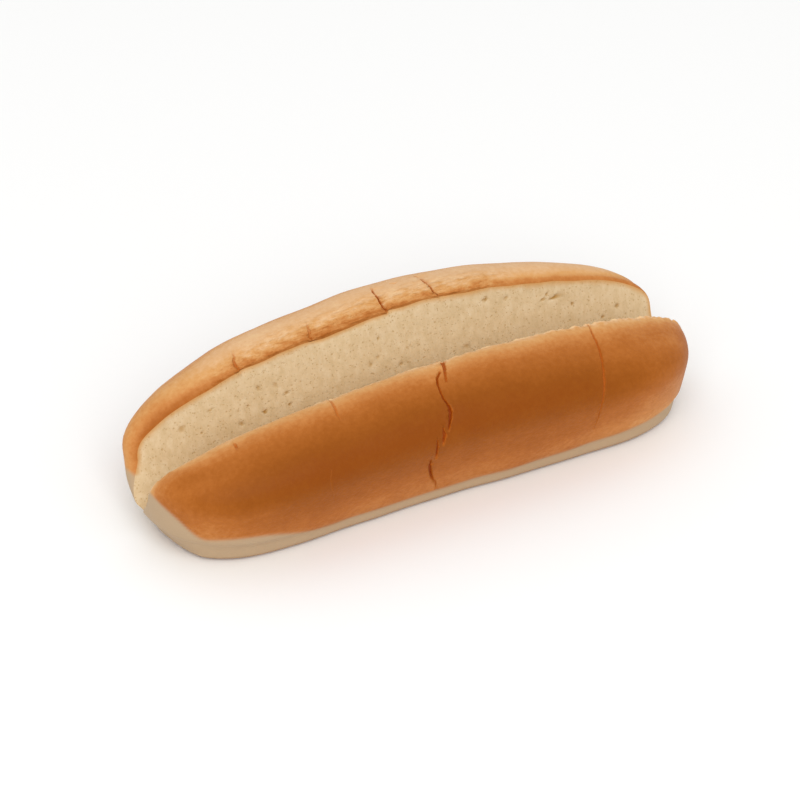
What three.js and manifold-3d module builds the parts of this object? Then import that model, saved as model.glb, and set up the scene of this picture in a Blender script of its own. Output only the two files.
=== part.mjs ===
// A soft white finger roll, cut along its length from the top almost to the base and opened out.
// One piece of bread: two half-roll lobes that still hang together below the cut, with baking
// cracks in the crust. Millimetres, +Z up, +X along the roll, -Y to the front half.
// The origin is under the middle of the roll, on the surface it rests on.

import * as THREE from 'three';
import { mergeGeometries, mergeVertices } from 'three/addons/utils/BufferGeometryUtils.js';
import Module from 'manifold-3d';

// ---- Driving dimensions (mm, degrees) ----

const HALF_LENGTH = 80;
const WAIST_HEIGHT = 20.8; // where the roll is widest
const HINGE_HEIGHT = 4.5; // bread left uncut above the base
const BASE_ROUND = 2.5; // rounding between the side and the flat base
const WALL_SHARE = 0.75; // share of the lower half that is side wall, the rest is base rounding
const SIDE_INSET = 1.3; // how much narrower each side is at the base than at the waist
const SIDE_CURVE = 1.6; // power of the curve by which the side draws in below the waist
const PLAN_POWER = 1.65; // roundness of the crown across the roll
const CROWN_POWER = 2.6; // roundness of the crown upwards
const CURL_REACH = 7; // how far from the cut the crust curls over it
// The curl at the ends grows towards them, and with height from this far above the hinge.
const END_CURL = { power: 3, from: 5, blend: 12 };
const LIP = { depth: 0.7, height: 3.4, endRise: 4, blend: 2.2 }; // crown proud of the pale lower side
// The left end is drawn in and up at the base, most in the middle of its width.
const LEFT_TUCK = { inset: 4, outer: 1.8, curve: 4, rise: 0.8, from: 0.7 };
const RIGHT_TUCK = { inset: 0.65 };
const CREST_ROUND = 0.35; // share of the half length over which the crest starts to fall away

const FRONT = {
  side: -1,
  halfWidth: 24.1,
  height: 37.1,
  endPower: 6.7, // squareness of the ends seen from above
  endDrop: 0.22, // share of the height lost towards the ends
  lean: 14.7,
  endLean: 0.5, // share of the lean lost towards the ends
  bow: 4.0, // how far the upper half bends outward at the ends
  curl: [2.4, -2.5, 0.5], // drop of the cut edge: middle, change along +X, change to both ends
  endCurl: { left: 0, right: 0 }, // how far the ends of the cut edge are drawn in
};

const REAR = {
  side: 1,
  halfWidth: 23.6,
  height: 42.8,
  endPower: 2.8,
  endDrop: 0.23,
  lean: 19.8,
  endLean: 0.27,
  bow: 5.4,
  curl: [3.4, -1.1, 1.7],
  endCurl: { left: 4.2, right: 0 },
};

// Soft unevenness of the whole skin: wave length along the roll, height and phase.
const LUMP_BLEND = 12; // unevenness and bow grow over this distance from the hinge
const LUMPS = [
  { length: 61, height: 0.2, phase: 0.4 },
  { length: 37, height: 0.13, phase: 2.1 },
  { length: 19, height: 0.08, phase: 4.0 },
];

// Cracks in the crust. Each follows points given as [distance along the roll from its middle,
// share of the way round from the cut edge to the base].
const CRACKS = [
  // The main crack forks at the cut edge and breaks into shorter strokes down the side.
  { half: FRONT, radius: 0.75, path: [[3.5, 0], [-1, 0.13], [-1.5, 0.25], [-1, 0.37], [-3.5, 0.51]] },
  { half: FRONT, radius: 0.5, path: [[4.5, 0], [3.5, 0.08], [1.5, 0.15]] },
  { half: FRONT, radius: 0.5, path: [[-4.5, 0.47], [-5, 0.54], [-5.5, 0.6]] },
  { half: FRONT, radius: 0.5, path: [[-7.5, 0.53], [-7, 0.61], [-7, 0.68]] },
  { half: FRONT, radius: 0.5, path: [[-8.5, 0.68], [-8, 0.72], [-6.5, 0.78], [-4, 0.85]] },
  // A long fine crack near the right end and a short one to the left.
  { half: FRONT, radius: 0.45, path: [[48.5, 0], [47, 0.2], [44, 0.48], [42.5, 0.62], [43, 0.78]] },
  { half: FRONT, radius: 0.45, path: [[-29.5, 0], [-29.5, 0.1], [-30, 0.2]] },
  // Four cracks over the curled rear edge.
  { half: REAR, radius: 0.45, path: [[-45, 0], [-44.5, 0.04], [-44.5, 0.09]] },
  { half: REAR, radius: 0.4, path: [[-23, 0], [-23, 0.03], [-23, 0.07]] },
  { half: REAR, radius: 0.65, path: [[0, 0], [-1, 0.03], [-0.5, 0.09], [0, 0.17]] },
  { half: REAR, radius: 0.6, path: [[15.5, 0], [14.5, 0.04], [13, 0.11]] },
];
const CROWN_GIRTH = 1 / 3; // share of the girth from the cut edge to the top of the side
const CRACK_STEP = 1.6;
const CRACK_SIDES = 6;

// Grid of each half: cells along, across and up. The hinge lies on a row of the grid.
const CELLS = { along: 48, across: 8, up: 14 };
const LOWER_ROWS = CELLS.up / 2;
const HINGE_ROW = 3;
const END_CROWDING = 1.2; // how much the rows along the roll gather towards its ends
const WELD = 1e-3;

// ---- Small helpers ----

const clamp01 = (v) => Math.min(Math.max(v, 0), 1);
const smooth = (v) => clamp01(v) ** 2 * (3 - 2 * clamp01(v));
const radians = THREE.MathUtils.degToRad;
// Clears the rounding from a grid value, so that faces that share an edge share its points.
const onGrid = (v, cells) => Math.round(v * cells) / cells;

// Row of the lower half's grid to depth below the waist, 0 at the waist and 1 on the base,
// stretched so that the hinge row falls at the hinge height.
const HINGE_DEPTH = (WALL_SHARE * (WAIST_HEIGHT - HINGE_HEIGHT)) / (WAIST_HEIGHT - BASE_ROUND);
function depthOfRow(c) {
  const row = -c * LOWER_ROWS;
  const hingeFromWaist = LOWER_ROWS - HINGE_ROW;
  return row <= hingeFromWaist
    ? (row / hingeFromWaist) * HINGE_DEPTH
    : HINGE_DEPTH + ((row - hingeFromWaist) / HINGE_ROW) * (1 - HINGE_DEPTH);
}

// Side profile below the waist: how far the skin is drawn in, and how high it is.
function lowerProfile(depth, inset, curve, lipHeight) {
  const wall = Math.min(depth / WALL_SHARE, 1);
  const turn = (Math.max(depth - WALL_SHARE, 0) / (1 - WALL_SHARE)) * (Math.PI / 2);
  const height = depth < WALL_SHARE
    ? THREE.MathUtils.lerp(WAIST_HEIGHT, BASE_ROUND, wall)
    : BASE_ROUND * (1 - Math.sin(turn));
  const lip = LIP.depth * smooth((lipHeight + LIP.blend - height) / LIP.blend);
  return { inset: inset * wall ** curve + lip + BASE_ROUND * (1 - Math.cos(turn)), height };
}

// ---- The uncut half roll ----

// A point of a half box (a along -1..1, b out from the cut 0..1, c up -1..1) laid on the half roll.
// Returns x along, u out from the cut and z up.
function halfRoll(half, a, b, c) {
  // Inside the cut face and the base the outline is scaled down towards the middle.
  let scale = 1;
  if (b === 0 && c > 0) scale = Math.max(Math.abs(a), c);
  if (c === -1) scale = Math.max(Math.abs(a), b);
  const [ra, rb, rc] = scale > 0 ? [a / scale, b / scale, Math.max(c, 0) / scale] : [0, 0, 0];
  const size = Math.abs(ra) ** half.endPower + rb ** PLAN_POWER + rc ** CROWN_POWER;
  const flatCut = b === 0 && c <= 0;
  const divide = (power) => (flatCut || size === 0 ? 1 : size ** (-1 / power));
  const depth = depthOfRow(Math.min(c, 0));
  const leftInset = THREE.MathUtils.lerp(LEFT_TUCK.inset, LEFT_TUCK.outer, b);
  const lipHeight = LIP.height + LIP.endRise * a * a;
  const ends = a < 0
    ? lowerProfile(depth, leftInset, LEFT_TUCK.curve, lipHeight)
    : lowerProfile(depth, RIGHT_TUCK.inset, SIDE_CURVE, lipHeight);
  const sides = lowerProfile(depth, SIDE_INSET, SIDE_CURVE, lipHeight);
  return {
    x: (HALF_LENGTH - ends.inset) * a * divide(half.endPower),
    u: (half.halfWidth - sides.inset) * b * divide(PLAN_POWER),
    z: c > 0
      ? WAIST_HEIGHT + (half.height - WAIST_HEIGHT) * c * divide(CROWN_POWER)
      : ends.height,
  };
}

// ---- Opening the cut ----

function opened(half, { x: uncurledX, u, z }) {
  // The crust curls over the cut edge, down along the top and in at the ends.
  const share = uncurledX / HALF_LENGTH;
  const reach = clamp01(1 - u / CURL_REACH);
  const roll = 1 - Math.sqrt(1 - reach * reach);
  const up = clamp01((z - WAIST_HEIGHT) / (half.height - WAIST_HEIGHT));
  const curl = half.curl[0] + half.curl[1] * share + half.curl[2] * share * share;
  let height = z - curl * roll * up;
  const endCurl = share < 0 ? half.endCurl.left : half.endCurl.right;
  const drawnIn = endCurl * roll * smooth((z - HINGE_HEIGHT - END_CURL.from) / END_CURL.blend);
  const x = uncurledX - Math.sign(share) * drawnIn * Math.abs(share) ** END_CURL.power;
  const t = x / HALF_LENGTH;
  // The half leans out, a little less towards the ends, and its upper part bows.
  const lean = radians(half.lean) * (1 - half.endLean * t * t);
  const aboveHinge = Math.max(height - HINGE_HEIGHT, 0);
  let out = u + aboveHinge * Math.tan(lean);
  // The crest falls away towards the ends.
  const fall = (Math.hypot(CREST_ROUND, t) - CREST_ROUND) / (Math.hypot(CREST_ROUND, 1) - CREST_ROUND);
  height -= aboveHinge * half.endDrop * fall;
  // No two rolls bake alike: the skin swells and sinks a little along the length.
  const away = smooth((u + height - HINGE_HEIGHT) / LUMP_BLEND);
  const swell = LUMPS.reduce(
    (sum, w) => sum + w.height * Math.sin((2 * Math.PI * x) / w.length + w.phase * half.side),
    0,
  );
  out += away * (swell * clamp01(u / half.halfWidth) + half.bow * t * t);
  height += away * swell * up;
  // The left end is tucked up at the base.
  const tuck = clamp01((-t - LEFT_TUCK.from) / (1 - LEFT_TUCK.from));
  height += LEFT_TUCK.rise * tuck * tuck * clamp01(1 - height / WAIST_HEIGHT);
  return new THREE.Vector3(x, half.side * out, height);
}

function lobe(half) {
  const { along, across, up } = CELLS;
  const box = new THREE.BoxGeometry(2, 1, 2, along, across, up);
  box.translate(0, half.side / 2, 0);
  box.deleteAttribute('normal');
  box.deleteAttribute('uv');
  const position = box.getAttribute('position');
  const corners = [];
  for (let i = 0; i < position.count; i++) {
    const a = Math.sin(onGrid(position.getX(i), along) * END_CROWDING) / Math.sin(END_CROWDING);
    const b = onGrid(Math.abs(position.getY(i)), across);
    const c = onGrid(position.getZ(i), up);
    corners.push({ b, c });
    const point = opened(half, halfRoll(half, a, b, c));
    position.setXYZ(i, point.x, point.y, point.z);
  }
  // Below the hinge the two halves are one bread, so neither has a face there.
  const hingeLevel = -1 + HINGE_ROW / LOWER_ROWS + WELD;
  const joined = (i) => corners[i].b < WELD && corners[i].c < hingeLevel;
  const index = box.getIndex().array;
  const kept = [];
  for (let i = 0; i < index.length; i += 3) {
    const triangle = [index[i], index[i + 1], index[i + 2]];
    if (!triangle.every(joined)) kept.push(...triangle);
  }
  box.setIndex(kept);
  return box;
}

// ---- Cracks ----

// The point of the crust that lies x along the roll and this share of the way round from the cut
// edge to the base.
function crustPoint(half, x, girth) {
  const round = girth / CROWN_GIRTH;
  const b = Math.min(round, 1);
  const c = round < 1 ? 1 : 2 - round;
  const t = Math.abs(x / HALF_LENGTH) ** half.endPower;
  const size = b ** PLAN_POWER + Math.max(c, 0) ** CROWN_POWER;
  const a = Math.sign(x) * ((t / (1 - t)) * size) ** (1 / half.endPower);
  return opened(half, halfRoll(half, a, b, c));
}

function crackTool({ half, radius, path }) {
  const curve = new THREE.CatmullRomCurve3(path.map(([x, girth]) => crustPoint(half, x, girth)));
  const section = new THREE.Shape(
    Array.from({ length: CRACK_SIDES }, (_, i) => {
      const angle = (2 * Math.PI * i) / CRACK_SIDES;
      return new THREE.Vector2(radius * Math.cos(angle), radius * Math.sin(angle));
    }),
  );
  const steps = Math.ceil(curve.getLength() / CRACK_STEP);
  return new THREE.ExtrudeGeometry(section, { steps, extrudePath: curve });
}

// ---- Joining and cutting ----

const wasm = await Module();
wasm.setup();

function toSolid(geometry) {
  const bare = geometry.clone();
  bare.deleteAttribute('normal');
  bare.deleteAttribute('uv');
  const welded = mergeVertices(bare, WELD);
  return new wasm.Manifold(
    new wasm.Mesh({
      numProp: 3,
      vertProperties: new Float32Array(welded.getAttribute('position').array),
      triVerts: new Uint32Array(welded.getIndex().array),
    }),
  );
}

function toGeometry(solid) {
  const mesh = solid.getMesh();
  const geometry = new THREE.BufferGeometry();
  geometry.setAttribute('position', new THREE.BufferAttribute(new Float32Array(mesh.vertProperties), 3));
  geometry.setIndex(Array.from(mesh.triVerts));
  return geometry;
}

// Moves the geometry so that it stands on z = 0 with the middle of its box over the origin.
function standOnOrigin(geometry) {
  geometry.computeBoundingBox();
  const { min, max } = geometry.boundingBox;
  geometry.translate(-(min.x + max.x) / 2, -(min.y + max.y) / 2, -min.z);
  return geometry;
}

function bread() {
  let solid = toSolid(mergeGeometries([lobe(REAR), lobe(FRONT)]));
  for (const crack of CRACKS) solid = solid.subtract(toSolid(crackTool(crack)));
  const geometry = standOnOrigin(toGeometry(solid));
  geometry.computeVertexNormals();
  return geometry;
}

const crust = new THREE.MeshStandardMaterial({ color: '#b46a2c', roughness: 0.55, metalness: 0 });
const roll = new THREE.Mesh(bread(), crust);
roll.name = 'roll';

const part = new THREE.Group();
part.add(roll);

export default part;
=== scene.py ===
# A soft white finger roll, cut along its length from the top almost to the base and opened out.
# One closed piece of bread: satin browned crust, pale lower side, open crumb on the cut faces.
from dataclasses import dataclass
from math import cos, pi, radians, sin, tau

import bmesh
import bpy
import numpy as np
from mathutils import Matrix, Vector, kdtree, noise


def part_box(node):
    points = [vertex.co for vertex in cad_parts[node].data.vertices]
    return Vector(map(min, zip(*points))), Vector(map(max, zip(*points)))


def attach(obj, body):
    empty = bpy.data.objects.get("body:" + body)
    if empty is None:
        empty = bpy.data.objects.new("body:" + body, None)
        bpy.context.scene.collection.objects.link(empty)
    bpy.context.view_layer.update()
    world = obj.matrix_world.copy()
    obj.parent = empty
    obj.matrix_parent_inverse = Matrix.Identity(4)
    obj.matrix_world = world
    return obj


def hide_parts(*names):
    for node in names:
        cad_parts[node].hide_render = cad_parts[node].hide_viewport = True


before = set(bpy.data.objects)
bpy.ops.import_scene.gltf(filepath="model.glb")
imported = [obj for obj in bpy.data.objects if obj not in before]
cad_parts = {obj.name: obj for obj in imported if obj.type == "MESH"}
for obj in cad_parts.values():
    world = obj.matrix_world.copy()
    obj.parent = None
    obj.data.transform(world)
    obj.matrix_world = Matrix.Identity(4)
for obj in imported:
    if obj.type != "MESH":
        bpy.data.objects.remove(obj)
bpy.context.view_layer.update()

MM = 0.001

# ---- Driving dimensions of the roll (mm, degrees), as its solid has them ----

HALF_LENGTH = 80.0
WAIST_HEIGHT = 20.8  # where the roll is widest
HINGE_HEIGHT = 4.5  # bread left uncut above the base
BASE_ROUND = 2.5
WALL_SHARE = 0.75  # share of the lower half that is side wall, the rest is base rounding
SIDE_INSET = 1.3  # how far the sides are drawn in at the base
SIDE_CURVE = 1.6
PLAN_POWER = 1.65  # powers of the rounded halves: outwards, and upwards above the waist
CROWN_POWER = 2.6
CURL_REACH = 7.0  # how far out from the cut edge the crust curls over
END_CURL_POWER = 3  # the curl at the ends grows towards them, and upwards from above the hinge
END_CURL_FROM = 5.0
END_CURL_BLEND = 12.0
LIP_DEPTH = 0.7  # crown standing proud of the pale lower side
LIP_HEIGHT = 3.4
LIP_END_RISE = 4.0
LIP_BLEND = 2.2
LEFT_INSET = 4.0  # the left end is drawn in and up at the base, most in the middle of its width
LEFT_OUTER_INSET = 1.8
LEFT_CURVE = 4
LEFT_RISE = 0.8
LEFT_FROM = 0.7
RIGHT_INSET = 0.65
CREST_ROUND = 0.35  # how gently the crest starts to fall towards the ends
LUMP_BLEND = 12.0  # the swelling grows over this distance from the hinge
LUMPS = ((61, 0.2, 0.4), (37, 0.13, 2.1), (19, 0.08, 4.0))  # wave length, height, phase
CROWN_GIRTH = 1 / 3  # share of the girth from the cut edge to the top of the side


@dataclass(frozen=True)
class Half:
    """One side of the opened roll."""
    side: int  # which way it leans along Y
    half_width: float
    height: float  # before it is leaned out
    end_power: float  # the higher, the blunter the ends
    end_drop: float  # share of the height lost at the ends
    lean: float
    end_lean: float  # share of the lean lost at the ends
    bow: float  # how far the ends are moved outwards
    curl: tuple  # drop of the cut edge: middle, change along +X, change to both ends
    end_curl: tuple  # how far the left and right ends of the cut edge are drawn in


FRONT = Half(-1, 24.1, 37.1, 6.7, 0.22, 14.7, 0.5, 4.0, (2.4, -2.5, 0.5), (0, 0))
REAR = Half(1, 23.6, 42.8, 2.8, 0.23, 19.8, 0.27, 5.4, (3.4, -1.1, 1.7), (4.2, 0))


@dataclass(frozen=True)
class Crack:
    """A baking crack in the crust."""
    half: Half
    depth: float
    path: tuple  # mm along the roll, share of the girth from the cut edge, half width in mm
    step: float = 0.0  # how far the skin towards +X has sunk beside it
    lip: float = 0.08  # how far the torn skin turns up


CRACKS = (
    # The main crack: a short branch from the cut edge, the long one beside it, three strokes below.
    Crack(FRONT, 0.8, ((4.6, 0.0, 0.6), (4.0, 0.028, 0.6), (3.1, 0.067, 0.42), (2.4, 0.096, 0.38),
                       (1.7, 0.13, 0.36), (1.1, 0.155, 0.25)), 0.3, 0.2),
    Crack(FRONT, 1.3, ((1.4, 0.076, 0.25), (-0.6, 0.111, 0.3), (-1.2, 0.151, 0.32), (-1.6, 0.202, 0.32),
                       (-1.7, 0.26, 0.36), (-1.4, 0.33, 0.42), (-1.2, 0.368, 0.55), (-1.4, 0.396, 0.58),
                       (-2.0, 0.43, 0.48), (-2.8, 0.468, 0.38), (-3.4, 0.508, 0.25)), 0.5, 0.2),
    Crack(FRONT, 1.1, ((-4.8, 0.48, 0.3), (-4.8, 0.528, 0.58), (-5.0, 0.552, 0.5),
                       (-5.3, 0.594, 0.28)), 0.3),
    Crack(FRONT, 1.1, ((-7.0, 0.54, 0.3), (-7.0, 0.614, 0.45), (-6.9, 0.656, 0.4), (-6.8, 0.68, 0.3)), 0.3),
    Crack(FRONT, 1.1, ((-8.4, 0.675, 0.34), (-8.3, 0.704, 0.46), (-7.6, 0.732, 0.44), (-6.8, 0.766, 0.4),
                       (-5.9, 0.788, 0.3), (-5.0, 0.802, 0.22), (-4.4, 0.826, 0.2),
                       (-4.4, 0.84, 0.18)), 0.3),
    # A long fine crack near the right end, a faint one and a hairline to the left, and a nick.
    Crack(FRONT, 0.75, ((49.0, 0.01, 0.2), (48.2, 0.07, 0.32), (47.7, 0.142, 0.36), (46.6, 0.254, 0.38),
                        (45.6, 0.36, 0.38), (44.4, 0.45, 0.38), (43.2, 0.54, 0.36), (42.5, 0.62, 0.36),
                        (42.3, 0.7, 0.28), (42.0, 0.76, 0.18)), 0.3, 0.14),
    Crack(FRONT, 0.5, ((-28.8, 0.0, 0.3), (-29.1, 0.03, 0.4), (-29.5, 0.07, 0.45), (-30.1, 0.119, 0.35),
                       (-30.0, 0.17, 0.2)), 0.5),
    Crack(FRONT, 0.2, ((-38.0, 0.488, 0.2), (-38.7, 0.548, 0.22), (-38.3, 0.626, 0.22),
                       (-36.6, 0.706, 0.2))),
    Crack(FRONT, 0.6, ((-57.9, 0.055, 0.25), (-58.0, 0.07, 0.42), (-58.2, 0.1, 0.25)), 0.2, 0.2),
    # Four cracks over the curled rear edge, and a dent between them.
    Crack(REAR, 0.9, ((-45.2, 0.0, 0.34), (-45.5, 0.007, 0.46), (-45.4, 0.02, 0.44), (-45.3, 0.03, 0.36),
                      (-44.6, 0.04, 0.28), (-44.4, 0.06, 0.2)), 0.8, 0.15),
    Crack(REAR, 0.8, ((-23.0, 0.0, 0.28), (-23.5, 0.005, 0.4), (-23.1, 0.012, 0.38), (-23.1, 0.024, 0.32),
                      (-22.9, 0.04, 0.2)), 0.5, 0.12),
    Crack(REAR, 1.4, ((-0.3, 0.0, 0.22), (-0.8, 0.002, 0.3), (-1.5, 0.018, 0.42), (-1.5, 0.056, 0.42),
                      (-1.7, 0.074, 0.38), (-0.8, 0.135, 0.3)), 0.9, 0.15),
    Crack(REAR, 1.4, ((15.0, 0.001, 0.26), (14.2, 0.012, 0.4), (13.8, 0.037, 0.52), (13.3, 0.075, 0.6),
                      (12.9, 0.127, 0.6), (12.6, 0.16, 0.5)), 0.9, 0.15),
    Crack(REAR, 0.35, ((4.6, 0.12, 0.25), (5.4, 0.105, 0.4), (6.5, 0.112, 0.25))),
)
FLAP, DIMPLE = (2.4, 0.05), (4.3, 0.115)  # beside the main crack, placed as the cracks are

# Holes in the crumb of the rear cut face (mm): place along and up, half length, half height, depth.
HOLES = (
    (-62.6, 22.7, 0.9, 0.9, 0.3), (-40.2, 28.6, 0.5, 0.6, 0.35), (-35.3, 28.3, 0.6, 0.6, 0.25),
    (-43.7, 24.7, 0.4, 0.35, 0.3), (50.0, 28.9, 2.1, 0.5, 0.55), (46.4, 29.4, 0.9, 0.4, 0.4),
    (47.8, 30.4, 0.5, 0.5, 0.4), (55.4, 25.6, 0.5, 0.5, 0.45), (35.2, 33.2, 0.8, 0.4, 0.3),
    (69.3, 20.8, 0.7, 0.5, 0.4),
)
SMALL_HOLES = 22  # more, spread at random over each cut face
SMALL_HOLE_SIZE = (0.28, 0.6)  # half height, least and most
SMALL_HOLE_LENGTH, SMALL_HOLE_DEPTH = (0.8, 1.5), (0.7, 1.1)  # as shares of the half height
SMALL_HOLE_ALONG = 66  # how far along to each side of the middle
SMALL_HOLE_BOTTOM, SMALL_HOLE_TOP = 12, 8  # above the base, and below the half's height
SEED = 7

# How brown the crust is from the cut edge (0) to the base (1): 0 pale gold, 1 deep brown.
FRONT_BAKE = ((0, 0.0), (0.006, 0.04), (0.015, 0.17), (0.03, 0.24), (0.06, 0.36), (0.1, 0.5),
              (0.15, 0.62), (0.2, 0.7), (0.3, 0.82), (0.4, 0.94), (0.47, 1.0), (0.55, 0.95),
              (0.64, 0.8), (0.72, 0.68), (0.8, 0.52), (1, 0.42))
REAR_BAKE = ((0, 0), (0.09, 0.08), (0.18, 0.12), (0.3, 0.36), (0.42, 0.8), (0.5, 0.95), (0.6, 0.85),
             (0.72, 0.6), (0.8, 0.45), (1, 0.4))
# The same by the distance from the cut edge (mm): the golden belt of the curled rear edge,
# and the ends of the roll, which baked less.
BELT_BAKE = ((0, 0.42), (1.3, 0.4), (2.1, 0.29), (3.2, 0.19), (5, 0.12), (9, 0.06))
FRONT_END_BAKE = ((0, 0.05), (0.8, 0.25), (2.5, 0.42), (6, 0.56), (12, 0.62), (18, 0.6))
REAR_END_BAKE = ((0, 0.45), (1.2, 0.42), (2.5, 0.36), (6, 0.34), (12, 0.22))
# Fades along the roll, or along the girth: where each starts, and over what distance.
END_FADE = (70.0, 8.0)
RIGHT_FADE, LEFT_FADE, CREST_LEFT_FADE = (18, 75), (45, 45), (30, 45)
RIGHT_SIDE_FADE, LEFT_SIDE_FADE = (0, 0.3), (0.12, 0.2)
RIGHT_PALER, LEFT_PALER = 0.45, 0.42  # share of the brown that the sides lose towards the ends
BELT_NARROWER, BELT_PALER = 0.6, 0.1  # the belt towards the right end
CREST_LEFT_BROWN, CREST_RIGHT_BROWN = 0.2, 0.1  # the rear crest is browner towards the ends
CREST_GIRTH, CREST_BLEND = 0.3, 0.1
# Uneven browning: change of the brown, length in mm, seed. The first lies along the front cut edge.
EDGE_SPOTS, EDGE_SPOTS_REACH = (0.3, 1.2, 16), 1.5
BROAD_SPOTS, SMALL_SPOTS = (0.06, 20, 5), (0.04, 6, 6)
FOOT_TOP = 4.7  # height of the pale lower side at the middle
FOOT_RIGHT_RISE = 2.2  # it reaches higher towards both ends
FOOT_LEFT_RISE, FOOT_LEFT_FADE = 5.5, (36, 24)
FOOT_TIP_RISE, FOOT_TIP_FADE = {FRONT: 9.0, REAR: 5.0}, (70, 11)  # and more at the very left end
FOOT_WANDER = (0.5, 9, 15)  # height, length, seed
FOOT_EDGE = 0.9  # half the width of its soft upper edge
FOOT_SHARE = 0.95
TRAY_BROWN, TRAY_SHARE = 2.2, 0.8  # height of the brown line where the side met the tray

# ---- Grid of each half: cells along, across and up, with the hinge on a row of the grid ----

CELLS = (190, 26, 56)
HINGE_LEVEL = -4 / 7
END_CROWDING = 0.9
RIM_CROWDING = 1.4  # rows across gather towards the cut edge
GRID_EPS = 1e-5
WELD = 1e-3
# Where the grid is finer: within how many mm of a detail, and how many cuts each edge gets.
RIM_GRID, HOLE_GRID, CRACK_GRID, CRACK_FLOOR_GRID = (1.6, 1), (1.1, 2), (1.5, 2), (0.9, 1)
CRUST, CRUMB = 0, 1  # material slots


def clamp01(v):
    return np.clip(v, 0, 1)


def smooth(v):
    return clamp01(v) ** 2 * (3 - 2 * clamp01(v))


def fade(v, start, length):
    """0 up to start, 1 from start + length, smooth between them."""
    return smooth((v - start) / length)


HINGE_DEPTH = WALL_SHARE * (WAIST_HEIGHT - HINGE_HEIGHT) / (WAIST_HEIGHT - BASE_ROUND)


def depth_of(c):
    """Box height c (0 at the waist, -1 on the base) to depth below the waist."""
    down, hinge = -c, -HINGE_LEVEL
    upper = down / hinge * HINGE_DEPTH
    lower = HINGE_DEPTH + (down - hinge) / (1 - hinge) * (1 - HINGE_DEPTH)
    return np.where(down <= hinge, upper, lower)


def lower_profile(depth, inset, curve, lip_height):
    """Side profile below the waist: how far the skin is drawn in, and how high it is."""
    wall = np.minimum(depth / WALL_SHARE, 1)
    turn = np.maximum(depth - WALL_SHARE, 0) / (1 - WALL_SHARE) * pi / 2
    straight = WAIST_HEIGHT + (BASE_ROUND - WAIST_HEIGHT) * wall
    height = np.where(depth < WALL_SHARE, straight, BASE_ROUND * (1 - np.sin(turn)))
    lip = LIP_DEPTH * smooth((lip_height + LIP_BLEND - height) / LIP_BLEND)
    return inset * wall ** curve + lip + BASE_ROUND * (1 - np.cos(turn)), height


def half_roll(half, a, b, c):
    """A point of a half box laid on the uncut half roll: x along, u out from the cut, z up."""
    reach = np.maximum(np.abs(a), np.where(b == 0, c, b))
    scale = np.where(((b == 0) & (c > 0)) | (c == -1), reach, 1)
    safe = np.where(scale > 0, scale, 1)
    rise = np.maximum(c, 0)
    size = np.abs(a / safe) ** half.end_power + (b / safe) ** PLAN_POWER + (rise / safe) ** CROWN_POWER
    size = np.where((scale > 0) & ~((b == 0) & (c <= 0)), size, 1)
    depth = depth_of(np.minimum(c, 0))
    lip_height = LIP_HEIGHT + LIP_END_RISE * a * a
    left_inset = LEFT_INSET + (LEFT_OUTER_INSET - LEFT_INSET) * b
    end_inset, end_curve = np.where(a < 0, (left_inset, b * 0 + LEFT_CURVE),
                                    (b * 0 + RIGHT_INSET, b * 0 + SIDE_CURVE))
    end_in, level = lower_profile(depth, end_inset, end_curve, lip_height)
    side_in, _ = lower_profile(depth, SIDE_INSET, SIDE_CURVE, lip_height)
    x = (HALF_LENGTH - end_in) * a * size ** (-1 / half.end_power)
    u = (half.half_width - side_in) * b * size ** (-1 / PLAN_POWER)
    crown = WAIST_HEIGHT + (half.height - WAIST_HEIGHT) * rise * size ** (-1 / CROWN_POWER)
    return x, u, np.where(c > 0, crown, level)


def opened(half, x, u, z):
    """The half roll leaned out from the hinge, with its curled cut edge and soft unevenness."""
    share = x / HALF_LENGTH
    reach = clamp01(1 - u / CURL_REACH)
    roll = 1 - np.sqrt(1 - reach * reach)
    up = clamp01((z - WAIST_HEIGHT) / (half.height - WAIST_HEIGHT))
    curl = half.curl[0] + half.curl[1] * share + half.curl[2] * share * share
    height = z - curl * roll * up
    end_up = smooth((z - HINGE_HEIGHT - END_CURL_FROM) / END_CURL_BLEND)
    drawn_in = np.where(share < 0, *half.end_curl) * roll * end_up
    x = x - np.sign(share) * drawn_in * np.abs(share) ** END_CURL_POWER
    t = x / HALF_LENGTH
    lean = np.radians(half.lean) * (1 - half.end_lean * t * t)
    above = np.maximum(height - HINGE_HEIGHT, 0)
    out = u + above * np.tan(lean)
    fall = (np.hypot(CREST_ROUND, t) - CREST_ROUND) / (np.hypot(CREST_ROUND, 1) - CREST_ROUND)
    height = height - above * half.end_drop * fall
    away = smooth((u + height - HINGE_HEIGHT) / LUMP_BLEND)
    swell = sum(rise * np.sin(tau * x / length + phase * half.side) for length, rise, phase in LUMPS)
    out = out + away * (swell * clamp01(u / half.half_width) + half.bow * t * t)
    height = height + away * swell * up
    tuck = clamp01((-t - LEFT_FROM) / (1 - LEFT_FROM))
    height = height + LEFT_RISE * tuck * tuck * clamp01(1 - height / WAIST_HEIGHT)
    return np.stack([x, half.side * out, height], axis=-1)


def crust_point(half, x, girth):
    """The crust's point x along the roll, at this share of the way from the cut edge to the base."""
    turn = girth / CROWN_GIRTH
    b, c = np.minimum(turn, 1), np.where(turn < 1, 1, 2 - turn)
    t = np.abs(x / HALF_LENGTH) ** half.end_power
    size = b ** PLAN_POWER + np.maximum(c, 0) ** CROWN_POWER
    a = np.sign(x) * (t / (1 - t) * size) ** (1 / half.end_power)
    return opened(half, *half_roll(half, a, b, c))


# ---- The mesh: two box grids, refined where the detail is, laid on the shape and welded ----

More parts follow.
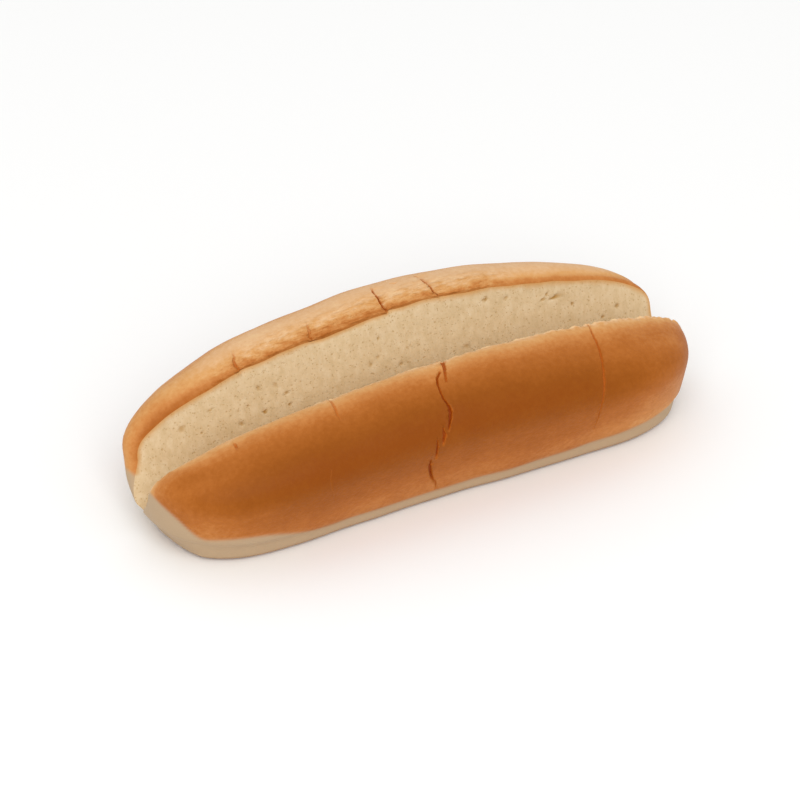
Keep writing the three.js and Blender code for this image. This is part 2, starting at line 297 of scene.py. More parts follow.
def half_box(bm):
    """Adds a grid box: a along -1..1, b out from the cut 0..1, c up -1..1."""
    place = Matrix.Translation((0, 0.5, 0)) @ Matrix.Diagonal((2, 1, 2, 1))
    bmesh.ops.create_cube(bm, size=1, matrix=place)
    for axis, cells in enumerate(CELLS):
        edges = [e for e in bm.edges if abs(e.verts[0].co[axis] - e.verts[1].co[axis]) > GRID_EPS]
        bmesh.ops.subdivide_edges(bm, edges=edges, cuts=cells - 1, use_grid_fill=True)
    for vert in bm.verts:
        vert.co = [round(v * n) / n for v, n in zip(vert.co, CELLS)]
        vert.co.x = sin(vert.co.x * END_CROWDING) / sin(END_CROWDING)
        vert.co.y = vert.co.y ** RIM_CROWDING


def two_boxes():
    """Both halves as grid boxes, open below the hinge where the bread is one."""
    bm = bmesh.new()
    side = bm.verts.layers.float.new("side")
    half_box(bm)
    for vert in bm.verts:
        vert[side] = REAR.side
    below = [f for f in bm.faces
             if all(v.co.y < GRID_EPS and v.co.z < HINGE_LEVEL + GRID_EPS for v in f.verts)]
    bmesh.ops.delete(bm, geom=below, context="FACES")
    copy = bmesh.ops.duplicate(bm, geom=bm.verts[:] + bm.edges[:] + bm.faces[:])["geom"]
    for vert in (g for g in copy if isinstance(g, bmesh.types.BMVert)):
        vert[side] = FRONT.side
    bmesh.ops.reverse_faces(bm, faces=[g for g in copy if isinstance(g, bmesh.types.BMFace)])
    for face in bm.faces:
        on_cut = all(v.co.y < GRID_EPS for v in face.verts)
        face.material_index = CRUMB if on_cut else CRUST
    return bm


def on_shape(box, side):
    """Places on the roll for points of the half boxes."""
    a, b, c = box.T
    rear = opened(REAR, *half_roll(REAR, a, b, c))
    front = opened(FRONT, *half_roll(FRONT, a, b, c))
    return np.where(side[:, None] > 0, rear, front)


def box_points(bm):
    """Box coordinates and sides of all vertices, as arrays."""
    side = bm.verts.layers.float["side"]
    box = np.array([v.co[:] for v in bm.verts])
    box[np.abs(box) < GRID_EPS] = 0
    box[np.abs(box + 1) < GRID_EPS] = -1
    box[np.abs(box - 1) < GRID_EPS] = 1
    return box, np.array([v[side] for v in bm.verts])


def near(points, centres, reach):
    """Which points lie within reach of any centre."""
    tree = tree_of(centres)
    low, high = centres.min(axis=0) - reach, centres.max(axis=0) + reach
    result = np.all((points > low) & (points < high), axis=1)
    for i in np.flatnonzero(result):
        result[i] = tree.find(points[i])[2] < reach
    return result


def refine(bm, half, centres, reach, cuts):
    """Splits the faces of one half near these centres more finely."""
    box, side = box_points(bm)
    close = near(on_shape(box, side), centres, reach) & (side == half.side)
    bm.verts.index_update()
    edges = {e for f in bm.faces if all(close[v.index] for v in f.verts) for e in f.edges}
    bmesh.ops.subdivide_edges(bm, edges=list(edges), cuts=cuts, use_grid_fill=True)


# ---- Relief ----

CRACK_STEP = 0.25  # mm between the points that a crack is followed by
CRACK_LEAST_POINTS = 4
CRACK_REACH = 8.0  # how far around a crack the skin is moved
FULL_DEPTH_WIDTH = 0.42  # half width from which a crack is as deep as it gets
TIP_LENGTH, TIP_DEPTH = 1.5, 0.2  # it gets shallower over its last part, down to this share
RAGGED = 0.3  # share of the half width by which a crack's width and line change
RAGGED_WIDTH, RAGGED_LINE = 1.1, 0.6  # over these lengths
WALL_TOP, WALL_WIDTH = 1.3, 0.8  # where its left wall starts, and how wide it is, in half widths
RIGHT_WALL = 0.8  # steepness of the right wall to the left one's
TORN_PLACE, TORN_WIDTH = 1.8, 0.8  # the turned-up skin beside it, in half widths
RIGHT_TORN = 0.3  # its height on the right to the left one's
SINK_REACH, SINK_PAST_END = 3.2, 1.5  # how far the sunken side reaches out, and past the ends
DARKEST_DEPTH = 1.3  # cracks shallower than this are painted less brown and less shaded inside
REAR_CRACK_TONE = 0.6  # and so are the rear ones
CUT_EDGE = 0.01  # depth from which a point lies in a crack
FLAP_HEIGHT, FLAP_SIZE = 0.35, 0.8
DIMPLE_DEPTH, DIMPLE_SIZE = 0.3, 1.1

# Points along the cut edge: along the top and up each end. Rows and rounds of the search on a cut face.
RIM_POINTS, RIM_END_POINTS = 800, 200
CUT_ROWS, CUT_ROUNDS = 400, 4

# Unevenness: height in mm, length in mm, seed.
BUMPS, BLISTERS = (0.16, 14, 1), (0.05, 4, 2)
SKIN_BLEND = 6.0  # these two grow over this height above the base
WRINKLES, FINE_WRINKLES = (0.2, 1.6, 9), (0.1, 0.9, 10)
FACE_WAVES, FACE_GRAIN = (0.22, 9, 12), (0.06, 2, 13)
SCALLOPS, FINE_SCALLOPS, EDGE_WAVES = (0.55, 2.2, 3), (0.45, 1.0, 14), (0.4, 7, 4)
HOLE_WARP = (0.35, 0.9, 8)  # of a hole's outline, as a share of its size
NOISE_SHIFT = (17.3, 5.1, 9.7)  # between one seed's noise and the next

WRINKLE_STRETCH = (0.22, 1, 1)  # the wrinkles run lengthwise
CREASE_REACH, CREASE_BLEND = 8, 5  # the wrinkled strip out from the rear cut edge
CREASE_MIDDLE, CREASE_LENGTH, CREASE_END = -8, 58, 30  # and along it: middle, to each side, fade
FOLD_PLACE, FOLD_WIDTH, FOLD_DEPTH = 2.0, 0.55, 0.22  # the fold that the rear edge is rolled over
FOLD_WANDER = (0.5, 9, 11)
FOLD_FADE = (-90, 40)  # it is flatter towards the left end
FACE_FROM, FACE_BLEND, FACE_RIM = 1, 5, 2  # the cut faces are even near the hinge and the edge
HOLE_RIM = 0.8  # crumb without holes along the edge
FULL_HOLE = 0.5  # depth from which a hole's painted shade is as brown as it gets
RAGGED_REACH, RAGGED_FADE = 1.3, (8, 6)  # the ragged cut edge: how far down, and from what height
RISE, RISE_X, RISE_LENGTH, RISE_REACH = 0.9, 42, 12, 5  # front edge near the long right crack
HANG, HANG_FADE, HANG_REACH = 0.85, (-27, 8), 2.2  # rear edge left of its middle crack
HANG_TO, HANG_STEP = 0.2, 1.2


def crack_line(crack):
    """Points along a crack on the crust, a fraction of a millimetre apart, and its half width there."""
    x, girth, width = np.array(crack.path).T
    corners = crust_point(crack.half, x, girth)
    run = np.concatenate([[0], np.cumsum(np.linalg.norm(np.diff(corners, axis=0), axis=1))])
    steps = np.linspace(0, run[-1], max(int(run[-1] / CRACK_STEP), CRACK_LEAST_POINTS))
    line = crust_point(crack.half, np.interp(steps, run, x), np.interp(steps, run, girth))
    return line, np.interp(steps, run, width)


def uneven(points, height, length, seed):
    """Smooth noise of about this height either way, with features of this length in mm."""
    offset = np.array(NOISE_SHIFT) * seed
    return height * np.array([noise.noise(p) for p in points / length + offset])


def tree_of(line):
    tree = kdtree.KDTree(len(line))
    for i, point in enumerate(line):
        tree.insert(point, i)
    tree.balance()
    return tree


def crack_relief(points, normals, side, crack):
    """Under each point, as shares of the crack's own: its depth, turned-up skin and sunken side."""
    line, widths = crack_line(crack)
    tree = tree_of(line)
    low, high = line.min(axis=0) - CRACK_REACH, line.max(axis=0) + CRACK_REACH
    close = np.all((points > low) & (points < high), axis=1) & (side == crack.half.side)
    cut, lift, sink = np.zeros((3, len(points)))
    last = len(line) - 1
    for i in np.flatnonzero(close):
        nearest, j, _ = tree.find(points[i])
        along = Vector(line[min(j + 1, last)] - line[max(j - 1, 0)]).normalized()
        away = Vector(points[i]) - nearest
        right = away.dot(Vector(normals[i]).cross(along)) * -crack.half.side
        beyond = max(away.length ** 2 - right ** 2, 0) ** 0.5
        taper = min(1, widths[j] / FULL_DEPTH_WIDTH, (last - j) * CRACK_STEP / TIP_LENGTH + TIP_DEPTH)
        width = widths[j] * (1 + RAGGED * noise.noise(points[i] / RAGGED_WIDTH))
        right += RAGGED * width * noise.noise(points[i] / RAGGED_LINE)
        distance = (right ** 2 + beyond ** 2) ** 0.5 / width
        # A steep wall on the left and a flatter one on the right, where the skin has sunk.
        wall = distance if right < 0 else distance * RIGHT_WALL
        cut[i] = smooth((WALL_TOP - wall) / WALL_WIDTH) * taper
        torn = np.exp(-((distance - TORN_PLACE) / TORN_WIDTH) ** 2)
        lift[i] = taper * torn * (1 if right < 0 else RIGHT_TORN)
        ease = max(right, 0) / SINK_REACH
        sink[i] = (right > 0) * taper * np.exp(-ease * ease - (beyond / SINK_PAST_END) ** 2)
    return cut, lift, sink


def rim_line(half):
    """Points along the cut edge of a half, where crust meets crumb."""
    a = np.linspace(-1, 1, RIM_POINTS)
    top = on_shape(np.stack([a, a * 0, a * 0 + 1], axis=1), a * 0 + half.side)
    c = np.linspace(1, HINGE_LEVEL, RIM_END_POINTS)
    ends = [on_shape(np.stack([c * 0 + end, c * 0, c], axis=1), c * 0 + half.side) for end in (-1, 1)]
    return np.concatenate([ends[0][::-1], top, ends[1]])


def distance_to(points, line):
    tree = tree_of(line)
    return np.array([tree.find(p)[2] for p in points])


def normals_of(mesh):
    normals = np.empty(len(mesh.vertices) * 3)
    mesh.vertex_normals.foreach_get("vector", normals)
    return normals.reshape(-1, 3)


def girth_of(box):
    """Share of the way round from the cut edge, 0, to the base, 1."""
    _, b, c = box.T
    most = np.maximum(np.maximum(b, c), GRID_EPS)
    crown = np.where(c >= b, b / most * CROWN_GIRTH, (2 - c / most) * CROWN_GIRTH)
    return np.where(c > 0, crown, (2 - c) * CROWN_GIRTH)


def bread_mesh():
    """The smooth shape in mm on its refined grid, welded, with each point's box coordinates kept."""
    bm = two_boxes()
    for half in (REAR, FRONT):
        refine(bm, half, rim_line(half), *RIM_GRID)
    for half in (REAR, FRONT):
        refine(bm, half, holes_of(half)[:, :3], *HOLE_GRID)
        cracks = np.concatenate([crack_line(crack)[0] for crack in CRACKS if crack.half is half])
        refine(bm, half, cracks, *CRACK_GRID)
        refine(bm, half, cracks, *CRACK_FLOOR_GRID)
    box, side = box_points(bm)
    places = on_shape(box, side)
    keep = bm.verts.layers.float_vector.new("box")
    for vert, corner, place in zip(bm.verts, box, places):
        vert[keep] = corner
        vert.co = place
    edge = [v for v in bm.verts if v.is_boundary]
    bmesh.ops.remove_doubles(bm, verts=edge, dist=WELD)
    bmesh.ops.recalc_face_normals(bm, faces=bm.faces)
    for face in bm.faces:
        face.smooth = True
    for rim in bm.edges:
        if len({f.material_index for f in rim.link_faces}) == 2:
            rim.smooth = False
    mesh = bpy.data.meshes.new("bread")
    bm.to_mesh(mesh)
    bm.free()
    return mesh


def read(mesh, name, size=1):
    values = np.empty(len(mesh.vertices) * size)
    mesh.attributes[name].data.foreach_get("vector" if size == 3 else "value", values)
    return values.reshape(-1, size) if size > 1 else values


def positions(mesh):
    points = np.empty(len(mesh.vertices) * 3)
    mesh.vertices.foreach_get("co", points)
    return points.reshape(-1, 3)


def write(mesh, name, values):
    mesh.attributes.new(name, "FLOAT", "POINT").data.foreach_set("value", values)


def cut_point(half, x, z):
    """The point of a half's cut face that lies x along the roll at height z."""
    c = np.linspace(HINGE_LEVEL, 1, CUT_ROWS)
    a = np.clip(x / HALF_LENGTH, -1, 1)
    for _ in range(CUT_ROUNDS):  # the face narrows upwards, so a is corrected until x fits
        face = opened(half, *half_roll(half, c * 0 + a, c * 0, c))
        row = np.argmin(np.abs(face[:, 2] - z))
        a = np.clip(a * x / face[row, 0], -1, 1) if abs(x) > 1 else a
    return face[row]


def holes_of(half):
    """Holes of a half's cut face as rows: x, y, z, half length, half height, depth."""
    draw = np.random.default_rng(SEED + half.side)
    rows = list(HOLES) if half is REAR else []
    for _ in range(SMALL_HOLES):
        size = draw.uniform(*SMALL_HOLE_SIZE)
        along = draw.uniform(-SMALL_HOLE_ALONG, SMALL_HOLE_ALONG)
        height = draw.uniform(SMALL_HOLE_BOTTOM, half.height - SMALL_HOLE_TOP)
        rows.append((along, height, size * draw.uniform(*SMALL_HOLE_LENGTH), size,
                     size * draw.uniform(*SMALL_HOLE_DEPTH)))
    return np.array([(*cut_point(half, x, z), long, tall, deep) for x, z, long, tall, deep in rows])


def hole_relief(points, side, on_cut, half):
    """Depth of the crumb's larger holes under each point."""
    depth = np.zeros(len(points))
    for x, _, z, long, tall, deep in holes_of(half):
        near_by = on_cut & (side == half.side)
        near_by &= (np.abs(points[:, 0] - x) < 2 * long) & (np.abs(points[:, 2] - z) < 2 * tall)
        spot = points[near_by]
        warp = 1 + uneven(spot, *HOLE_WARP)
        reach = np.hypot((spot[:, 0] - x) / long, (spot[:, 2] - z) / tall) * warp
        depth[near_by] = np.maximum(depth[near_by], deep * np.sqrt(clamp01(1 - reach ** 2)))
    return depth


def add_relief(mesh):
    """Moves the skin for lumps, wrinkles, cracks, holes and the ragged edge, and keeps their places."""
    points = positions(mesh)
    x, z = points[:, 0], points[:, 2]
    box, side = read(mesh, "box", 3), np.sign(read(mesh, "side"))
    normals = normals_of(mesh)
    rear = side > 0
    rim = np.where(rear, distance_to(points, rim_line(REAR)), distance_to(points, rim_line(FRONT)))
    on_cut = np.abs(box[:, 1]) < GRID_EPS
    crust = ~on_cut

    push = crust * smooth(z / SKIN_BLEND) * (uneven(points, *BUMPS) + uneven(points, *BLISTERS))
    # Lengthwise wrinkles where the rear crust was bent open.
    creased = crust * rear * smooth((CREASE_REACH - rim) / CREASE_BLEND)
    creased *= smooth((CREASE_LENGTH - np.abs(x - CREASE_MIDDLE)) / CREASE_END)
    stretched = points * WRINKLE_STRETCH
    push += creased * (uneven(stretched, *WRINKLES) + uneven(stretched, *FINE_WRINKLES))
    # The curled edge is rolled over a fold.
    fold = np.exp(-((rim - FOLD_PLACE - uneven(points, *FOLD_WANDER)) / FOLD_WIDTH) ** 2)
    push -= crust * rear * fold * FOLD_DEPTH * fade(x, *FOLD_FADE)
    cut, lift, sink, torn_tint_and_shade = np.zeros((4, len(points)))
    for crack in CRACKS:
        into, beside, sunk = crack_relief(points, normals, side, crack)
        cut = np.maximum(cut, into * crack.depth * crust)
        lift = np.maximum(lift, beside * crack.lip)
        sink = np.maximum(sink, sunk * crack.step)
        # Painted shade: a crack's inside gets a darker colour the deeper the crack is, on top of the torn
        # dough's own orange-brown.
        crack_shade_tone = min(crack.depth / DARKEST_DEPTH, 1) * (REAR_CRACK_TONE if crack.half is REAR else 1)
        torn_tint_and_shade = np.maximum(torn_tint_and_shade, into * crack_shade_tone * crust)  # 1 at the bottom of the deepest front cracks
    # The torn flap between the two branches of the main crack stands up, and a dimple lies beside it.
    flap, dimple = (distance_to(points, crust_point(FRONT, *np.array(place)[:, None]))
                    for place in (FLAP, DIMPLE))
    lift = lift + ~rear * (FLAP_HEIGHT * np.exp(-(flap / FLAP_SIZE) ** 2)
                           - DIMPLE_DEPTH * np.exp(-(dimple / DIMPLE_SIZE) ** 2))
    push += lift * (cut < CUT_EDGE) - np.maximum(cut, sink)
    holes = hole_relief(points, side, on_cut, REAR) + hole_relief(points, side, on_cut, FRONT)
    wavy = on_cut * smooth((z - HINGE_HEIGHT - FACE_FROM) / FACE_BLEND) * smooth(rim / FACE_RIM)
    push += wavy * (uneven(points, *FACE_WAVES) + uneven(points, *FACE_GRAIN)) - holes * (rim > HOLE_RIM)
    moved = points + normals * push[:, None]
    # The front cut edge is torn into small scallops, the rear one is only wavy.
    ragged = ~rear * (uneven(points, *SCALLOPS) + uneven(points, *FINE_SCALLOPS))
    ragged += uneven(points, *EDGE_WAVES)
    moved[:, 2] += ragged * np.exp(-(rim / RAGGED_REACH) ** 2) * fade(z, *RAGGED_FADE)
    # The front edge stands higher near the long right crack, and the rear edge hangs lower left of
    # its middle crack.
    moved[:, 2] += RISE * ~rear * np.exp(-((x - RISE_X) / RISE_LENGTH) ** 2 - (rim / RISE_REACH) ** 2)
    hanging = fade(x, *HANG_FADE) * smooth((HANG_TO - x) / HANG_STEP)
    moved[:, 2] -= HANG * rear * hanging * np.exp(-(rim / HANG_REACH) ** 2)
    mesh.vertices.foreach_set("co", moved.ravel())
    write(mesh, "girth", girth_of(box))
    write(mesh, "rim", rim)
    # The crack attribute holds the torn dough's tint together with painted shade, darker in deeper cracks.
    write(mesh, "crack", torn_tint_and_shade)
    write(mesh, "crease", creased)
    # Painted shade for the crumb's holes: browner the deeper the hole.
    write(mesh, "hole_shade", clamp01(holes / FULL_HOLE))


# ---- Materials ----

MOTTLE = 0.24  # how much bubbles under the skin change how brown it is
FOLD_STREAK_SHADE = 0.8  # how much browner the folds' ridges are painted than the valleys between them: painted shade and highlight in streaks
FOLD_BUMP = 6  # height of the folds to that of the skin's own wrinkles
TORN_GAIN = 1.9  # torn dough and its painted shade have their full colour from about half of the deepest crack
NOISE_MEAN = 0.5
FINE_PORES, COARSE_PORES = (0.7, 0.46), (1.6, 0.28)  # mm apart, largest radius as a share of that
PORE_FLOOR = 0.4  # share of its radius in which a pore has its full depth
PORE_SHADE = 0.5  # share of the browner colour, painted shade, in a pore
# The gold along the cut edge (mm): its least reach, how much more it gets, and where it would be full.
GOLD_LEAST, GOLD_WANDER, GOLD_FULL = 0.6, 2.4, -0.6


def linear(code):
    """sRGB hex to a linear colour with alpha."""
    parts = [int(code[i:i + 2], 16) / 255 for i in (1, 3, 5)]
    return [v / 12.92 if v <= 0.04045 else ((v + 0.055) / 1.055) ** 2.4 for v in parts] + [1]


def add(tree, kind, links=None, stops=None, **settings):
    """Adds a node with its settings, and links or sets its inputs."""
    made = tree.nodes.new(kind)
    for name, value in settings.items():
        setattr(made, name, value)
    for socket, value in (links or {}).items():
        if isinstance(value, bpy.types.NodeSocket):
            tree.links.new(value, made.inputs[socket])
        else:
            made.inputs[socket].default_value = value
    if stops:
        ramp = made.color_ramp.elements
        while len(ramp) < len(stops):
            ramp.new(0.5)
        for element, (place, colour) in zip(ramp, stops):
            element.position = place
            element.color = linear(colour)
    return made


def new_material(name):
    material = bpy.data.materials.new(name)
    material.use_nodes = True
    material.node_tree.nodes.clear()
    return material, material.node_tree


def crust_material():
    """Baked milk-dough crust: a thin satin skin, browned by the oven where it stood proud."""
    material, tree = new_material("baked soft crust")
    where = add(tree, "ShaderNodeTexCoord").outputs["Object"]
    bake, foot, tray, crack, crease = (
        add(tree, "ShaderNodeAttribute", attribute_name=name).outputs["Fac"]
        for name in ("bake", "foot", "tray", "crack", "crease"))
    # Bubbles under the skin, 1.5 mm wide, brown a little darker or lighter.
    mottle = add(tree, "ShaderNodeTexNoise", {"Vector": where, "Scale": 1 / (1.5 * MM), "Detail": 3,
                                              "Roughness": 0.65})
    shifted = add(tree, "ShaderNodeMath", {0: mottle.outputs["Fac"], 1: MOTTLE, 2: bake},
                  operation="MULTIPLY_ADD")
    centred = add(tree, "ShaderNodeMath", {0: shifted.outputs[0], 1: MOTTLE * NOISE_MEAN},
                  operation="SUBTRACT")
    # Where the crust was bent open its skin lies in fine lengthwise folds, about 1.4 mm apart.
    along = add(tree, "ShaderNodeMapping", {"Vector": where, "Scale": (0.3, 1, 1)})
    folds = add(tree, "ShaderNodeTexNoise", {"Vector": along.outputs[0], "Scale": 1 / (1.4 * MM),
                                             "Detail": 4, "Roughness": 0.65})
    creased = add(tree, "ShaderNodeMath", {0: folds.outputs["Fac"], 1: crease}, operation="MULTIPLY")
    # Painted shade and highlight: their ridges are painted a little browner than the valleys between them,
    # in streaks.
    ridge = add(tree, "ShaderNodeMath", {0: folds.outputs["Fac"], 1: NOISE_MEAN}, operation="SUBTRACT")
    ridges = add(tree, "ShaderNodeMath", {0: ridge.outputs[0], 1: crease}, operation="MULTIPLY")
    bake_with_streak_shade = add(tree, "ShaderNodeMath", {0: ridges.outputs[0], 1: FOLD_STREAK_SHADE, 2: centred.outputs[0]},
                   operation="MULTIPLY_ADD")
    browned = add(tree, "ShaderNodeValToRGB", {"Fac": bake_with_streak_shade.outputs[0]}, stops=(
        (0.0, "#e9c492"), (0.1, "#e2b585"), (0.25, "#d69e61"), (0.4, "#c68143"), (0.55, "#b16728"),
        (0.7, "#9f5717"), (0.85, "#914c0b"), (1.0, "#8a4405")))
    pale = add(tree, "ShaderNodeMix", {"Factor": foot, "A": browned.outputs["Color"],
                                       "B": linear("#b89f80")}, data_type="RGBA")
    edge = add(tree, "ShaderNodeMix", {"Factor": tray, "A": pale.outputs["Result"],
                                       "B": linear("#9d6a3a")}, data_type="RGBA")
    # Inside a crack the torn dough is orange-brown, and painted shade makes it dark at its deepest.
    torn = add(tree, "ShaderNodeValToRGB", {"Fac": crack}, stops=(
        (0.15, "#c06e26"), (0.45, "#b96119"), (0.7, "#a24c0b"), (1.0, "#943e04")))
    torn_and_shade_share = add(tree, "ShaderNodeMath", {0: crack, 1: TORN_GAIN}, operation="MULTIPLY", use_clamp=True)
    coloured = add(tree, "ShaderNodeMix", {"Factor": torn_and_shade_share.outputs[0], "A": edge.outputs["Result"],
                                           "B": torn.outputs["Color"]}, data_type="RGBA")
    # Fine wrinkles of the skin, 0.8 mm apart.
    skin = add(tree, "ShaderNodeTexNoise", {"Vector": where, "Scale": 1 / (0.8 * MM), "Detail": 4})
    raised = add(tree, "ShaderNodeMath", {0: creased.outputs[0], 1: FOLD_BUMP, 2: skin.outputs["Fac"]},
                 operation="MULTIPLY_ADD")
    bump = add(tree, "ShaderNodeBump", {"Strength": 0.8, "Distance": 0.2 * MM,
                                        "Height": raised.outputs[0]})
    shader = add(tree, "ShaderNodeBsdfPrincipled", {
        "Base Color": coloured.outputs["Result"], "Roughness": 0.48, "IOR": 1.4,
        "Specular IOR Level": 0.16, "Normal": bump.outputs["Normal"]})
    add(tree, "ShaderNodeOutputMaterial", {"Surface": shader.outputs[0]})
    return material


def pores(tree, where, spacing, largest):
    """Round pores with this spacing in mm, the largest with this share of it as radius. 1 in a pore."""
    cells = add(tree, "ShaderNodeTexVoronoi", {"Vector": where, "Scale": 1 / (spacing * MM)})
    size = add(tree, "ShaderNodeMath", {0: cells.outputs["Color"], 1: largest}, operation="MULTIPLY")
    inner = add(tree, "ShaderNodeMath", {0: size.outputs[0], 1: PORE_FLOOR}, operation="MULTIPLY")
    pore = add(tree, "ShaderNodeMapRange", {"Value": cells.outputs["Distance"],
                                            "From Min": size.outputs[0], "From Max": inner.outputs[0]})
    return pore.outputs[0]


def crumb_material():
    """White-bread crumb, cut: matt and fine-pored, golden where it meets the crust."""
    material, tree = new_material("white bread crumb")
    where = add(tree, "ShaderNodeTexCoord").outputs["Object"]
    rim, hole_shade, foot = (add(tree, "ShaderNodeAttribute", attribute_name=name).outputs["Fac"]
                       for name in ("rim", "hole_shade", "foot"))
    fine = pores(tree, where, *FINE_PORES)
    coarse = pores(tree, where, *COARSE_PORES)
    both = add(tree, "ShaderNodeMath", {0: fine, 1: coarse}, operation="MAXIMUM")
    # Painted shade: pores and the deeper holes get a browner colour than the cell walls.
    pore_shade = add(tree, "ShaderNodeMath", {0: both.outputs[0], 1: PORE_SHADE}, operation="MULTIPLY")
    deep = add(tree, "ShaderNodeMath", {0: pore_shade.outputs[0], 1: hole_shade}, operation="MAXIMUM")
    # Cell walls catch the light in patches about 2 mm wide, drawn out upwards as the dough rose.
    risen = add(tree, "ShaderNodeMapping", {"Vector": where, "Scale": (1, 1, 0.4)})
    patches = add(tree, "ShaderNodeTexNoise", {"Vector": risen.outputs[0], "Scale": 1 / (1.8 * MM),
                                               "Detail": 5, "Roughness": 0.7})
    wall = add(tree, "ShaderNodeValToRGB", {"Fac": patches.outputs["Fac"]}, stops=(
        (0.3, "#d2b78d"), (0.5, "#dbc199"), (0.7, "#e3cca8")))
    crumb = add(tree, "ShaderNodeMix", {"Factor": deep.outputs[0], "A": wall.outputs["Color"],
                                        "B": linear("#b58c50")}, data_type="RGBA")
    # The crust's colour reaches about 2 mm into the crumb.
    wander = add(tree, "ShaderNodeTexNoise", {"Vector": where, "Scale": 1 / (5 * MM), "Detail": 3})
    far = add(tree, "ShaderNodeMath", {0: wander.outputs["Fac"], 1: GOLD_WANDER, 2: GOLD_LEAST},
              operation="MULTIPLY_ADD")
    golden = add(tree, "ShaderNodeMapRange",
                 {"Value": rim, "From Min": GOLD_FULL, "From Max": far.outputs[0], "To Min": 1, "To Max": 0},
                 interpolation_type="SMOOTHSTEP")
    baked = add(tree, "ShaderNodeMath", {0: golden.outputs[0], 1: foot}, operation="SUBTRACT",
                use_clamp=True)
    toasted = add(tree, "ShaderNodeMix", {"Factor": baked.outputs[0], "A": crumb.outputs["Result"],
                                          "B": linear("#cc934f")}, data_type="RGBA")
    grain = add(tree, "ShaderNodeTexNoise", {"Vector": where, "Scale": 1 / (0.7 * MM), "Detail": 4})
    raised = add(tree, "ShaderNodeMath", {0: grain.outputs["Fac"], 1: both.outputs[0]},
                 operation="SUBTRACT")
    bump = add(tree, "ShaderNodeBump", {"Strength": 0.4, "Distance": 0.25 * MM,
                                        "Height": raised.outputs[0]})
    shader = add(tree, "ShaderNodeBsdfPrincipled", {
        "Base Color": toasted.outputs["Result"], "Roughness": 0.85, "IOR": 1.35,
        "Specular IOR Level": 0.2, "Normal": bump.outputs["Normal"]})
    add(tree, "ShaderNodeOutputMaterial", {"Surface": shader.outputs[0]})
    return material


def add_colour_places(mesh):
    """How brown, how pale and how tray-baked the crust is at each point, 0 to 1."""
    girth, rim = read(mesh, "girth"), read(mesh, "rim")
    points = positions(mesh)
    x, z = points[:, 0], points[:, 2]
    rear = np.sign(read(mesh, "side")) > 0
    right_fade, left_fade = fade(x, *RIGHT_FADE), fade(-x, *LEFT_FADE)
    left_paler = 1 - LEFT_PALER * left_fade * fade(girth, *LEFT_SIDE_FADE)
    front_bake = np.interp(girth, *zip(*FRONT_BAKE))
    front_bake += uneven(points, *EDGE_SPOTS) * np.exp(-rim / EDGE_SPOTS_REACH)
    front_bake *= 1 - RIGHT_PALER * right_fade * fade(girth, *RIGHT_SIDE_FADE)
    front_bake *= left_paler
    belt_bake = np.interp(rim * (1 + BELT_NARROWER * right_fade), *zip(*BELT_BAKE))
    belt_bake *= 1 - BELT_PALER * right_fade
    rear_bake = np.maximum(np.interp(girth, *zip(*REAR_BAKE)), belt_bake)
    rear_bake *= left_paler
    crest_brown = CREST_LEFT_BROWN * fade(-x, *CREST_LEFT_FADE) + CREST_RIGHT_BROWN * right_fade
    rear_bake += crest_brown * smooth((CREST_GIRTH - girth) / CREST_BLEND)
    at_end = fade(np.abs(x), *END_FADE)
    front_bake += at_end * (np.interp(rim, *zip(*FRONT_END_BAKE)) - front_bake)
    rear_bake += at_end * (np.interp(rim, *zip(*REAR_END_BAKE)) - rear_bake)
    bake = np.where(rear, rear_bake, front_bake)
    bake += uneven(points, *BROAD_SPOTS) + uneven(points, *SMALL_SPOTS)
    foot_top = FOOT_TOP + FOOT_RIGHT_RISE * clamp01(x / HALF_LENGTH) ** 2
    foot_top += FOOT_LEFT_RISE * fade(-x, *FOOT_LEFT_FADE)
    foot_top += np.where(rear, FOOT_TIP_RISE[REAR], FOOT_TIP_RISE[FRONT]) * fade(-x, *FOOT_TIP_FADE)
    foot_top += uneven(points, *FOOT_WANDER)
    write(mesh, "bake", clamp01(bake))
    write(mesh, "foot", smooth((foot_top + FOOT_EDGE - z) / (2 * FOOT_EDGE)) * FOOT_SHARE)
    write(mesh, "tray", smooth((TRAY_BROWN - z) / TRAY_BROWN) * TRAY_SHARE)


def build_bread():
    """The whole roll as one piece in place of the plain solid. Returns how far it was moved."""
    mesh = bread_mesh()
    add_relief(mesh)
    add_colour_places(mesh)
    for material in (crust_material(), crumb_material()):
        mesh.materials.append(material)
    low, high = (np.array(corner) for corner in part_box("roll"))
    shape_low, shape_high = shape_box()
    move = (low + high) / 2 - (shape_low + shape_high) / 2 * MM
    move[2] = low[2] - shape_low[2] * MM
    mesh.transform(Matrix.Translation(move) @ Matrix.Scale(MM, 4))
    bread = bpy.data.objects.new("bread", mesh)
    bpy.context.scene.collection.objects.link(bread)
    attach(bread, "root")
    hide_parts("roll")
    return Vector(move)


def shape_box():
    """Lowest and highest corner of the smooth shape, in mm."""
    bm = two_boxes()
    places = on_shape(*box_points(bm))
    bm.free()
    return places.min(axis=0), places.max(axis=0)


# ---- Studio ----

CAMERA_AZIMUTH = -28.49
CAMERA_HEIGHT = 37.0  # degrees above the horizon
CAMERA_ROLL = 1.39
CAMERA_DISTANCE = 1249.9
PIXELS_PER_MM = 3.74  # at the target
IMAGE = 800
SENSOR = 36.0
TARGET_Z = 18.0
OFF_CENTRE = Vector((-9.59, 0.42))  # how far the target stands from the middle of the picture, px
FLOOR_HALF = 3.0  # m
SKY_STRENGTH = 0.75
SOFTBOXES = (  # name, place (m), side (m), watts
    ("top softbox", (-0.1, 0.1, 1.15), 1.2, 1.3),
    ("front softbox", (-0.35, -0.75, 0.85), 0.9, 6.2),
)


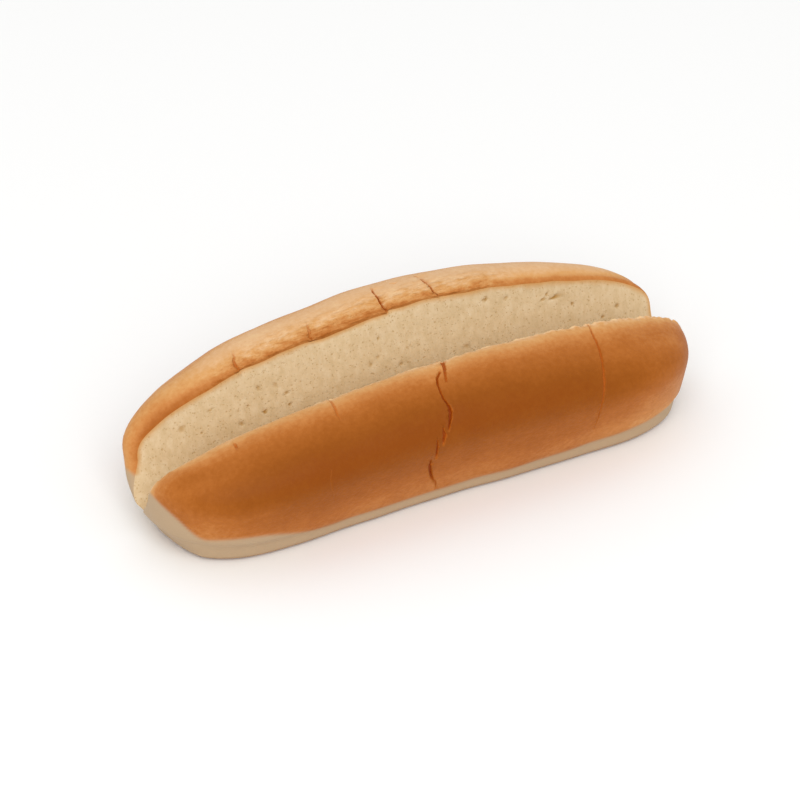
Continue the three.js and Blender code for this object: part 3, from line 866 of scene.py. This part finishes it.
def add_camera(move):
    azimuth, height, roll = radians(CAMERA_AZIMUTH), radians(CAMERA_HEIGHT), radians(CAMERA_ROLL)
    back = Vector((sin(azimuth) * cos(height), -cos(azimuth) * cos(height), sin(height)))
    right = Vector((cos(azimuth), sin(azimuth), 0))
    up = back.cross(right)
    turned_right = right * cos(roll) + up * sin(roll)
    turned_up = up * cos(roll) - right * sin(roll)
    aim = Vector((0, 0, TARGET_Z)) * MM + move
    aim += (turned_right * OFF_CENTRE.x + turned_up * OFF_CENTRE.y) * MM / PIXELS_PER_MM
    data = bpy.data.cameras.new("camera")
    data.sensor_width = SENSOR
    data.lens = SENSOR * PIXELS_PER_MM * CAMERA_DISTANCE / IMAGE
    camera = bpy.data.objects.new("camera", data)
    turn = Matrix((turned_right, turned_up, back)).transposed().to_4x4()
    camera.matrix_world = Matrix.Translation(aim + back * CAMERA_DISTANCE * MM) @ turn
    bpy.context.scene.collection.objects.link(camera)
    bpy.context.scene.camera = camera


def add_softbox(name, place, size, watts):
    """A square softbox of white light, facing the roll."""
    data = bpy.data.lights.new(name, "AREA")
    data.size = size
    data.energy = watts
    light = bpy.data.objects.new(name, data)
    light.location = place
    light.rotation_euler = (-Vector(place)).to_track_quat("-Z", "Y").to_euler()
    bpy.context.scene.collection.objects.link(light)


def add_studio():
    bm = bmesh.new()
    bmesh.ops.create_grid(bm, x_segments=1, y_segments=1, size=FLOOR_HALF)
    mesh = bpy.data.meshes.new("floor")
    bm.to_mesh(mesh)
    bm.free()
    material, tree = new_material("matt white card")
    shader = add(tree, "ShaderNodeBsdfPrincipled", {"Base Color": linear("#fbfbfa"), "Roughness": 0.9})
    add(tree, "ShaderNodeOutputMaterial", {"Surface": shader.outputs[0]})
    mesh.materials.append(material)
    floor = bpy.data.objects.new("floor", mesh)
    bpy.context.scene.collection.objects.link(floor)
    world = bpy.data.worlds.new("studio")
    world.use_nodes = True
    background = world.node_tree.nodes["Background"]
    background.inputs["Color"].default_value = linear("#ffffff")
    background.inputs["Strength"].default_value = SKY_STRENGTH
    bpy.context.scene.world = world
    for softbox in SOFTBOXES:
        add_softbox(*softbox)
    bpy.context.scene.view_settings.view_transform = "Standard"


add_camera(build_bread())
add_studio()
